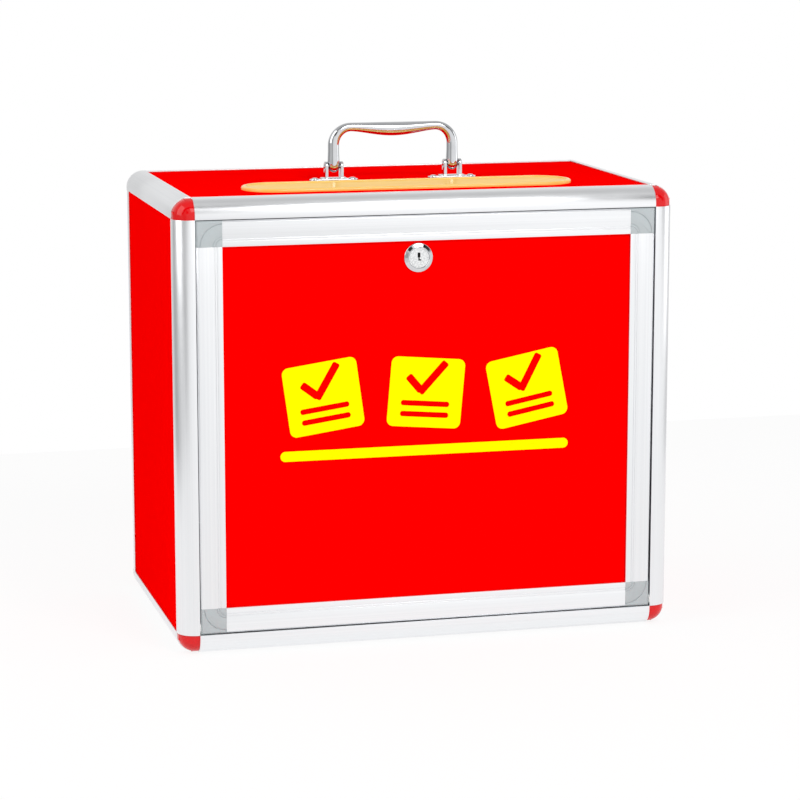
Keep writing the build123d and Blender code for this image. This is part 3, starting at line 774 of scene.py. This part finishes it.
def join(name, pieces):
    """Makes one piece of several loose ones."""
    bpy.ops.object.select_all(action="DESELECT")
    for piece in pieces:
        piece.select_set(True)
    bpy.context.view_layer.objects.active = pieces[0]
    bpy.ops.object.join()
    pieces[0].name = pieces[0].data.name = name
    return pieces[0]


tail = [(rivet_tail * wide, rivet_low.z + rise) for wide, rise in tail_curve]
shank = [(rivet_tail, washer_low.z), (rivet_shank, washer_low.z), (rivet_shank, head_seat)]
turns = [i / head_steps * pi / 2 * head_dome for i in range(head_steps + 1)]
head = [(head_radius * cos(t), head_seat + head_rise * sin(t)) for t in turns]
washer_rings = [
    (rivet_hole, washer_low.z), (washer_radius - washer_break, washer_low.z),
    (washer_radius, washer_low.z + washer_break), (washer_radius, washer_high.z - washer_break),
    (washer_radius - washer_break, washer_high.z), (rivet_hole, washer_high.z),
]
rivets, washers = [], []
for side in (-1, 1):
    for end in (-1, 1):
        spot = (side * pivot_right.x + end * bracket_rivets / 2, pivot_right.y, 0)
        rivets.append(turned("rivet", tail + shank + head, spot, upright, rivet_sides))
        washers.append(turned("washer", washer_rings, spot, upright, rivet_sides, True))
rivet_set = join("bracket_rivets", rivets)
smooth(rivet_set, rivet_smooth)
place(rivet_set, chrome, "box", "chrome", "handle_rivets")
washer_set = join("bracket_washers", washers)
smooth(washer_set, rivet_smooth)
place(washer_set, zinc, "box", "rivet_steel", "handle_washers")


# Door frame
# Two rails and two stiles of slim satin aluminium extrusion hold the door's red sheet. Two
# fine lines run along the inner edge of each.

door_bars = {
    "X": ("door_rail_bottom", "door_rail_top"), "Z": ("door_stile_left", "door_stile_right"),
}
door_softness = 0.00016
outer_zone = 0.0025  # how much of the frame's outer edge moves out into the gap
outer_reach = 0.0006


def widen(piece, node):
    """Moves the outer edge of a piece of the door's frame a little way into the gap round it."""
    low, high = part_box(node)
    edit(piece)
    for side, axis, edge in (
        ("left", 0, low.x), ("right", 0, high.x), ("bottom", 2, low.z), ("top", 2, high.z),
    ):
        if side not in node:
            continue
        pick(piece, "verts", lambda at: abs(at[axis] - edge) < outer_zone)
        move = Vector((0, 0, 0))
        move[axis] = outer_reach if side in ("right", "top") else -outer_reach
        bpy.ops.transform.translate(value=move)
    done()


for axis, nodes in door_bars.items():
    for node in nodes:
        bar = copy_of(node, node.replace("door", "frame"))
        widen(bar, node)
        soften(bar, door_softness)
        place(bar, aluminium[axis], "door", "aluminium", node)


# Door corner blocks
# Four grey mouldings join rails and stiles. Their plugs are hidden in the bars, and three
# arcs about the inner corner are engraved in their faces.

block_softness = 0.00014
block_arcs = [  # radius, breadth and depth of each
    (0.0195, 0.00095, 0.0006), (0.0085, 0.0006, 0.0004), (0.0063, 0.0006, 0.0004),
]
arc_sides = 96
block_greys = ((0.45, 0.495, 0.51, 1), (0.49, 0.535, 0.55, 1))
block_gloss = (0.5, 0.62)
block_shine = 0.3
block_grains = ((2600, 2),) * 3
block_relief = 0.00003


def arc_cutter(at, radius, breadth, depth):
    """A ring of square section that faces the front, to engrave an arc with."""
    inner, outer = radius - breadth / 2, radius + breadth / 2
    ring = [(inner, -depth), (outer, -depth), (outer, depth), (inner, depth)]
    return turned("arc", ring, at, to_front, arc_sides, True)


textured_grey = surface(
    "textured_grey", block_greys, block_gloss, block_grains, block_relief, shine=block_shine
)
stile_low, stile_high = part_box("door_stile_left")
block_size = stile_high.x - stile_low.x
for level in ("bottom", "top"):
    for side in ("left", "right"):
        node = "door_corner_" + level + "_" + side
        low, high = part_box(node)
        inner_corner = (
            low.x + block_size if side == "left" else high.x - block_size, low.y,
            low.z + block_size if level == "bottom" else high.z - block_size,
        )
        block = copy_of(node, "block_" + level + "_" + side)
        widen(block, node)
        for arc in block_arcs:
            combine(block, arc_cutter(inner_corner, *arc), "DIFFERENCE")
        soften(block, block_softness)
        place(block, textured_grey, "door", "grey_plastic", node)


# Printed motif
# Three ballot slips with a tick and two lines on each stand above a long bar that is round
# at its ends. All are of thin yellow film on the door's sheet.

door_low, door_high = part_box("door_panel")
motif_middle = (-0.003, (door_low.z + door_high.z) / 2 + 0.0155)
motif_bar = (0.262, 0.009, 0.0045)  # width, height and roundness, here and below
motif_bar_drop = 0.0427
slip = (0.067, 0.062, 0.006)
slip_places = [(-0.0925, 0.0085, -8), (0, 0.0085, 5), (0.0925, 0.0085, -11)]  # with its turn
tick_arms = [  # size, place and turn of each
    ((0.0185, 0.0068, 0.0018), (-0.0108, 0.0077), 45),
    ((0.036, 0.0068, 0.0018), (0.0052, 0.0136), -52),
]
slip_line = (0.044, 0.0048, 0.0022)
slip_lines = (-0.0098, -0.0195)
film = 0.00012
film_sink = 0.0004
film_cut = film * 3
film_rounds = 8
film_yellows = ((0.95, 0.92, 0.0, 1), (0.985, 0.965, 0.0, 1))
film_gloss = (0.42, 0.52)
film_grains = ((500, 3), (500, 3), (420, 2))
film_relief = 0.00001


def flat_shape(name, size, thickness=film):
    """A flat round-cornered shape that stands in the front, in the middle of the scene."""
    wide, tall, rounding = size
    shape = new_block(
        name, (-wide / 2, door_low.y - thickness, -tall / 2),
        (wide / 2, door_low.y + film_sink, tall / 2),
    )
    round_off(
        shape, rounding * full_round, film_rounds, lambda at, along: abs(along.y) > lengthways
    )
    return shape


def lay(shape, across, up, turn=0):
    """Turns a flat shape by so many degrees and moves it across and up."""
    shape.rotation_euler = (0, radians(turn), 0)
    shape.location = (across, 0, up)
    only(shape)
    settle()
    return shape


motif_x, motif_z = motif_middle
motif = [lay(flat_shape("motif_bar", motif_bar), motif_x, motif_z - motif_bar_drop)]
for across, up, turn in slip_places:
    ballot = flat_shape("motif_slip", slip)
    for size, at, tilt in tick_arms:
        combine(ballot, lay(flat_shape("tick", size, film_cut), *at, tilt), "DIFFERENCE")
    for level in slip_lines:
        combine(ballot, lay(flat_shape("line", slip_line, film_cut), 0, level), "DIFFERENCE")
    motif.append(lay(ballot, motif_x + across, motif_z + up, turn))
door_print = join("door_print", motif)
door_print.data.materials.clear()
door_print.data.materials.append(
    surface("yellow_film", film_yellows, film_gloss, film_grains, film_relief, shine=no_shine)
)
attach(door_print, "door")


# Lock
# A chromed cam lock is clamped through the door's sheet by a nut. The key turns the plug,
# and a screw holds the cam on its end. Heights are measured outwards from the door's sheet.

lock_low, lock_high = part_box("lock_housing")
plug_low, plug_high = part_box("lock_plug")
cam_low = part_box("lock_cam")[0]
lock_at = ((lock_low.x + lock_high.x) / 2, door_low.y, (lock_low.z + lock_high.z) / 2)
flange = (lock_high.x - lock_low.x) / 2
flange_top = door_low.y - lock_low.y
barrel_end = door_low.y - lock_high.y
disc = (plug_high.x - plug_low.x) / 2
disc_top = door_low.y - plug_low.y
disc_back = 0.0005
cam_seat = door_low.y - cam_low.y
disc_ring = 0.0002  # the dark ring between the disc and the flange
mouth_curve = [  # the flange round the disc: radius past the disc's, share of the flange's height
    (disc_ring, 0.9), (0.0004, 0.98), (0.0007, 1), (0.001, 0.94),
]
skirt_curve = [  # the flange's edge: radius short of its own, share of its height
    (0.0009, 0.56), (0.0006, 0.5), (0.0002, 0.36), (0, 0.2), (0, 0.1), (0.0002, 0),
]
face_curve = [  # the disc's face: radius short of its own, depth below its top
    (0, 0.0002), (0.0002, 0), (0.0009, 0), (0.001, 0.00012), (0.0014, 0.00012), (0.0015, 0),
]
disc_break = 0.0001
barrel = 0.0095
barrel_flat = 0.0083
barrel_flat_start = 0.0002
thread_pitch = 0.001
thread_depth = 0.00035
thread_lead = 1.5  # how deep the barrel's end is turned down, in threads
lock_seat = 0.00045
lock_shaft = 0.006
shaft_break = 0.0002
lock_gap = 0.00005
cut_past = 0.001  # how far a block reaches past what it cuts or joins
tang_half = 0.0032
keyway = (0.0011, 0.007, 0.009, 0.0015)  # width, height, depth and jog
key_head = (0.0024, 0.0042)  # the wider upper part: width and height
key_rise = 0.0011  # how far the keyway stands above the middle of the disc
screw_hole = 0.00205
screw_hole_depth = 0.0061
screw_hole_sides = 24
lock_sides = 64
lock_smooth = 30
lock_softness = 0.0003
# Near-black painted shade for the inside of the keyway, standing in for the shade deep in the
# narrow slot
keyway_shade_tones = ((0.008, 0.008, 0.009, 1), (0.02, 0.02, 0.022, 1))
channel_gloss = (0.6, 0.6)
channel_grains = ((2500, 2),) * 3
channel_relief = 0.00002
plug_tones = ((0.66, 0.67, 0.68, 1), (0.93, 0.935, 0.94, 1))  # brushed pale and uneven by the key
plug_gloss = (0.16, 0.3)
plug_grains = ((900, 3),) * 3
plug_relief = 0.00006


def lock_body():
    """The housing: domed flange, recess for the plug's disc, bore, and threaded barrel."""
    groove = barrel - thread_depth
    rings = [
        (lock_shaft + lock_gap, barrel_end), (lock_shaft + lock_gap, lock_seat),
        (disc + disc_ring, lock_seat),
        *[(disc + past, flange_top * share) for past, share in mouth_curve],
        *[(flange - short, flange_top * share) for short, share in skirt_curve],
        (groove, 0),
    ]
    for i in range(int(-barrel_end / thread_pitch)):
        rings += [(barrel, -(i + 0.5) * thread_pitch), (groove, -(i + 1) * thread_pitch)]
    rings.append((barrel - thread_depth * thread_lead, barrel_end))
    body = turned("key_lock_housing", rings, lock_at, to_front, lock_sides, True)
    x, y, z = lock_at
    for side in (-1, 1):
        left, right = sorted((x + side * barrel_flat, x + side * (barrel + cut_past)))
        flat = new_block(
            "flat", (left, y + barrel_flat_start, z - flange),
            (right, lock_high.y + cut_past, z + flange),
        )
        combine(body, flat, "DIFFERENCE")
    smooth(body, lock_smooth)
    return body


def lock_core():
    """The plug: disc with a fine rim and the keyway, shaft, and a square tang for the cam."""
    x, y, z = lock_at
    rings = [
        (lock_shaft - shaft_break, cam_seat), (lock_shaft, cam_seat + shaft_break),
        (lock_shaft, disc_back), (disc - disc_break, disc_back), (disc, disc_back + disc_break),
        *[(disc - short, disc_top - below) for short, below in face_curve],
    ]
    core = turned("key_lock_plug", rings, lock_at, to_front, lock_sides)
    tang = new_block(
        "tang", (x - tang_half, cam_low.y - cut_past, z - tang_half),
        (x + tang_half, plug_high.y, z + tang_half),
    )
    combine(core, tang, "UNION")
    wide, tall, deep, jog = keyway
    head_wide, head_tall = key_head
    foot, crown = key_rise - tall / 2, key_rise + tall / 2
    for left, right, bottom, top in (
        (wide / 2, wide / 2, foot, crown - lock_gap),
        (head_wide / 2, head_wide / 2, crown - head_tall, crown),
        (wide / 2, wide / 2 + jog, foot - lock_gap, foot + wide),
    ):
        cut = new_block(
            "keyway", (x - left, plug_low.y - cut_past, z + bottom),
            (x + right, plug_low.y + deep, z + top),
        )
        combine(core, cut, "DIFFERENCE")
    back = (x, plug_high.y, z)
    drill(core, screw_hole, screw_hole_depth, back, to_front, screw_hole_sides)
    smooth(core, lock_smooth)
    return core


def in_the_keyway(at, facing):
    wide, tall, deep, jog = keyway
    return (
        abs(at.x - lock_at[0]) < wide / 2 + jog + lock_gap
        and abs(at.z - lock_at[2] - key_rise) < tall / 2 + 2 * lock_gap
        and lock_gap < at.y - plug_low.y < deep + lock_gap
    )


place(lock_body(), chrome, "door", "chrome", "lock_housing")
worn_chrome = surface("worn_chrome", plug_tones, plug_gloss, plug_grains, plug_relief, metal=1)
plug = lock_core()
place(plug, worn_chrome, "lock_core", "chrome", "lock_plug")
# The keyway's inner faces take the near-black painted shade.
plug.data.materials.append(
    surface("keyway_painted_shade", keyway_shade_tones, channel_gloss, channel_grains, channel_relief)
)
edit(plug)
pick(plug, "faces", in_the_keyway)
plug.active_material_index = 1
bpy.ops.object.material_slot_assign()
done()
for node, body, slot in (
    ("lock_nut", "door", "chrome"), ("lock_cam", "lock_core", "chrome"),
    ("lock_cam_screw", "lock_core", "rivet_steel"),
):
    part = copy_of(node, node.replace("lock", "key_lock"))
    soften(part, lock_softness)
    place(part, zinc, body, slot, node)


# Door pivots
# A steel pin in each bottom block turns in a pale flanged bush, which is pressed into the
# upright beside it. Each bush is closed at its inner end.

door_pin_end = (0.8, 0.2)  # radius of a pin's end and length of its slope, in radii
bush_flange = 0.0009
bush_sleeve = 0.003
bush_bore = 0.00205
bush_end = 0.00045
bush_closing = 0.2  # how small the last ring of a closed end is, as a share of the radius
bush_mouth = 0.0002
bush_break = 0.0003
bush_point = 0.9
bush_sides = 48
bush_smooth = 40
pales = ((0.74, 0.75, 0.74, 1), (0.82, 0.83, 0.82, 1))
pale_gloss = (0.4, 0.4)
pale_grains = ((400, 2),) * 3
pale_relief = 0.00001

pale_plastic = surface("pale_plastic", pales, pale_gloss, pale_grains, pale_relief)
for side, name in ((-1, "left"), (1, "right")):
    low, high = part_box("pivot_pin_" + name)
    half, radius = (high.x - low.x) / 2, (high.y - low.y) / 2
    tip, slope = (radius * share for share in door_pin_end)
    rings = [(tip, -half), (radius, -half + slope), (radius, half - slope), (tip, half)]
    pin = turned("door_pin_" + name, rings, (low + high) / 2, along_x)
    smooth(pin)
    place(pin, zinc, "door", "rivet_steel", "pivot_pin_" + name)

    low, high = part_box("pivot_bush_" + name)
    middle = (low + high) / 2
    lip, deep = (high.y - low.y) / 2, high.x - low.x
    profile = [
        (bush_bore * bush_closing, bush_end - deep), (bush_bore, bush_end - deep),
        (bush_bore, -bush_mouth), (bush_bore + bush_mouth, 0), (lip - bush_break, 0),
        (lip, -bush_break), (lip, -bush_flange), (bush_sleeve, -bush_flange),
        (bush_sleeve, bush_break - deep), (bush_sleeve * bush_point, -deep),
        (bush_sleeve * bush_closing, -deep),
    ]
    face = (high.x if side < 0 else low.x, middle.y, middle.z)
    rings = [(radius, -side * level) for radius, level in profile]
    bush = turned("door_bush_" + name, rings, face, along_x, bush_sides)
    smooth(bush, bush_smooth)
    place(bush, pale_plastic, "box", "white_plastic", "pivot_bush_" + name)


# Studio
# A pale floor and a soft white room round the box, with a dark gap and two dark screens that
# the metal reflects. Three soft windows and a lamp light it, and the camera stands to the left.

camera_target = Vector((0.0058, 0, 0.1947))
camera_distance = 2.576
camera_side = radians(-14.52)
camera_rise = radians(10.41)
focal_share = 2791 / 800  # focal length over the picture's width
sensor = 36
floor_size = 1.6
floor_white = (0.96, 0.96, 0.96, 1)
floor_matt = 0.9
floor_glow = 0.88
white = (1, 1, 1, 1)
upper_room = [  # brightness above the horizon, from the front to the back
    (-1, 1.05), (-0.67, 1.05), (-0.62, 0.06), (-0.46, 0.06), (-0.40, 0.6), (0.2, 0.55), (0.9, 0.85),
]
lower_room = [(-1, 1.02), (-0.9, 0.86), (-0.45, 0.7), (0.55, 0.36), (0.9, 0.8)]
lower_right = [(0, 0), (0.7, 0.28)]  # what the lower room gains towards the right
horizon = [(0.08, 0), (0.3, 1)]
gap_slant = 0.82  # where the dark gap between the front and left windows stands: X over Y
gap_width = [(0.2, 1), (0.4, 0)]
gap_reach = {"Y": [(-0.35, 1), (-0.25, 0)], "Z": [(-0.16, 0), (-0.1, 1), (0.6, 1), (0.7, 0)]}
gap_dark = 0.45
screens = [  # two dark screens beside the key window, which the lock and the caps reflect
    {
        "X": [(-0.46, 0), (-0.42, 1), (-0.2, 1), (-0.16, 0)], "Y": [(-0.6, 1), (-0.5, 0)],
        "Z": [(0.31, 0), (0.35, 1), (0.56, 1), (0.6, 0)],
    },
    {
        "X": [(0.46, 0), (0.5, 1), (0.6, 1), (0.64, 0)], "Y": [(-0.5, 1), (-0.4, 0)],
        "Z": [(0.4, 0), (0.44, 1), (0.54, 1), (0.58, 0)],
    },
]
screen_dark = 0.95
windows = {  # direction, distance, size and brightness
    "key_window": ((0.19, -0.68, 0.70), 2.2, (1.18, 0.9), 3),
    "key_lamp": ((0.20, -0.685, 0.70), 2.15, (0.5, 0.34), 12),
    "left_window": ((-0.81, -0.18, 0.55), 2, (1.25, 1.7), 1.85),
    "right_window": ((0.97, -0.05, 0.25), 2, (0.9, 1.1), 1.0),
}


def soft_window(name, towards, distance, size, brightness):
    """A lamp of even brightness that faces the middle of the box from a direction."""
    lamp = bpy.data.lights.new(name, "AREA")
    lamp.shape = "RECTANGLE"
    lamp.size, lamp.size_y = size
    lamp.energy = brightness * pi * size[0] * size[1]
    window = bpy.data.objects.new(name, lamp)
    bpy.context.scene.collection.objects.link(window)
    away = Vector(towards).normalized()
    window.location = camera_target + away * distance
    window.rotation_mode = "QUATERNION"
    window.rotation_quaternion = away.to_track_quat("Z", "Y")


def calculated(tree, how, first, second):
    """A sum or the like of two values, each a number or what another node gives."""
    node = tree.nodes.new("ShaderNodeMath")
    node.operation = how
    for socket, value in zip(node.inputs, (first, second)):
        if isinstance(value, (float, int)):
            socket.default_value = value
        else:
            tree.links.new(value, socket)
    return node.outputs[0]


def white_floor():
    """A matt white that takes shadows, and is lifted where the eye or a mirror meets it."""
    material, tree, shader = new_material("floor", floor_white, 0, floor_matt)
    shader.inputs["Specular IOR Level"].default_value = no_shine
    ray = tree.nodes.new("ShaderNodeLightPath").outputs
    seen = calculated(tree, "MAXIMUM", ray["Is Camera Ray"], ray["Is Glossy Ray"])
    glow = tree.nodes.new("ShaderNodeEmission")
    glow.inputs["Color"].default_value = white
    glow.inputs["Strength"].default_value = 1
    lifted = tree.nodes.new("ShaderNodeMixShader")
    tree.links.new(calculated(tree, "MULTIPLY", seen, floor_glow), lifted.inputs[0])
    tree.links.new(shader.outputs[0], lifted.inputs[1])
    tree.links.new(glow.outputs[0], lifted.inputs[2])
    tree.links.new(lifted.outputs[0], tree.nodes["Material Output"].inputs["Surface"])
    return material


def room_level(value, stops):
    """A brightness that passes smoothly from stop to stop along one direction."""
    level = stops[0][1]
    for (start, before), (end, after) in zip(stops, stops[1:]):
        change = ranged(room, value, start, end, 0, after - before, "SMOOTHSTEP")
        level = calculated(room, "ADD", change, level)
    return level


def room_patch(stops):
    """One inside a patch of the room and none outside, from its stops along each axis."""
    patch = 1
    for axis, levels in stops.items():
        patch = calculated(room, "MULTIPLY", room_level(towards[axis], levels), patch)
    return patch


def darken(light, patch, share):
    """Takes a share of the light away inside a patch."""
    kept = calculated(room, "SUBTRACT", 1, calculated(room, "MULTIPLY", patch, share))
    return calculated(room, "MULTIPLY", light, kept)


back = Vector((
    sin(camera_side) * cos(camera_rise), -cos(camera_side) * cos(camera_rise), sin(camera_rise)
))
lens = bpy.data.cameras.new("camera")
lens.sensor_width = sensor
lens.lens = sensor * focal_share
camera = bpy.data.objects.new("camera", lens)
bpy.context.scene.collection.objects.link(camera)
camera.location = camera_target + back * camera_distance
camera.rotation_mode = "QUATERNION"
camera.rotation_quaternion = (-back).to_track_quat("-Z", "Y")
bpy.context.scene.camera = camera
bpy.context.scene.view_settings.view_transform = "Standard"

for name, window in windows.items():
    soft_window(name, *window)

bpy.ops.object.select_all(action="DESELECT")
bpy.ops.mesh.primitive_plane_add(size=floor_size, location=(0, 0, 0))
floor = bpy.context.object
floor.name = "floor"
floor.data.materials.append(white_floor())

world = bpy.data.worlds.new("room")
bpy.context.scene.world = world
world.use_nodes = True
room = world.node_tree
background = room.nodes["Background"]
background.inputs["Color"].default_value = white
where = room.nodes.new("ShaderNodeTexCoord")
split = room.nodes.new("ShaderNodeSeparateXYZ")
room.links.new(where.outputs["Generated"], split.inputs[0])
towards = split.outputs
above = room_level(towards["Y"], upper_room)
below = room_level(towards["Y"], lower_room)
below = calculated(room, "ADD", below, room_level(towards["X"], lower_right))
rise = calculated(room, "SUBTRACT", above, below)
rise = calculated(room, "MULTIPLY", rise, room_level(towards["Z"], horizon))
light = calculated(room, "ADD", below, rise)
slant = calculated(room, "DIVIDE", towards["X"], towards["Y"])
aside = calculated(room, "SUBTRACT", slant, gap_slant)
aside = calculated(room, "ABSOLUTE", aside, 0)
gap = calculated(room, "MULTIPLY", room_patch(gap_reach), room_level(aside, gap_width))
light = darken(light, gap, gap_dark)
for screen in screens:
    light = darken(light, room_patch(screen), screen_dark)
ray = room.nodes.new("ShaderNodeLightPath").outputs
seen = calculated(room, "MAXIMUM", ray["Is Camera Ray"], light)
room.links.new(seen, background.inputs["Strength"])
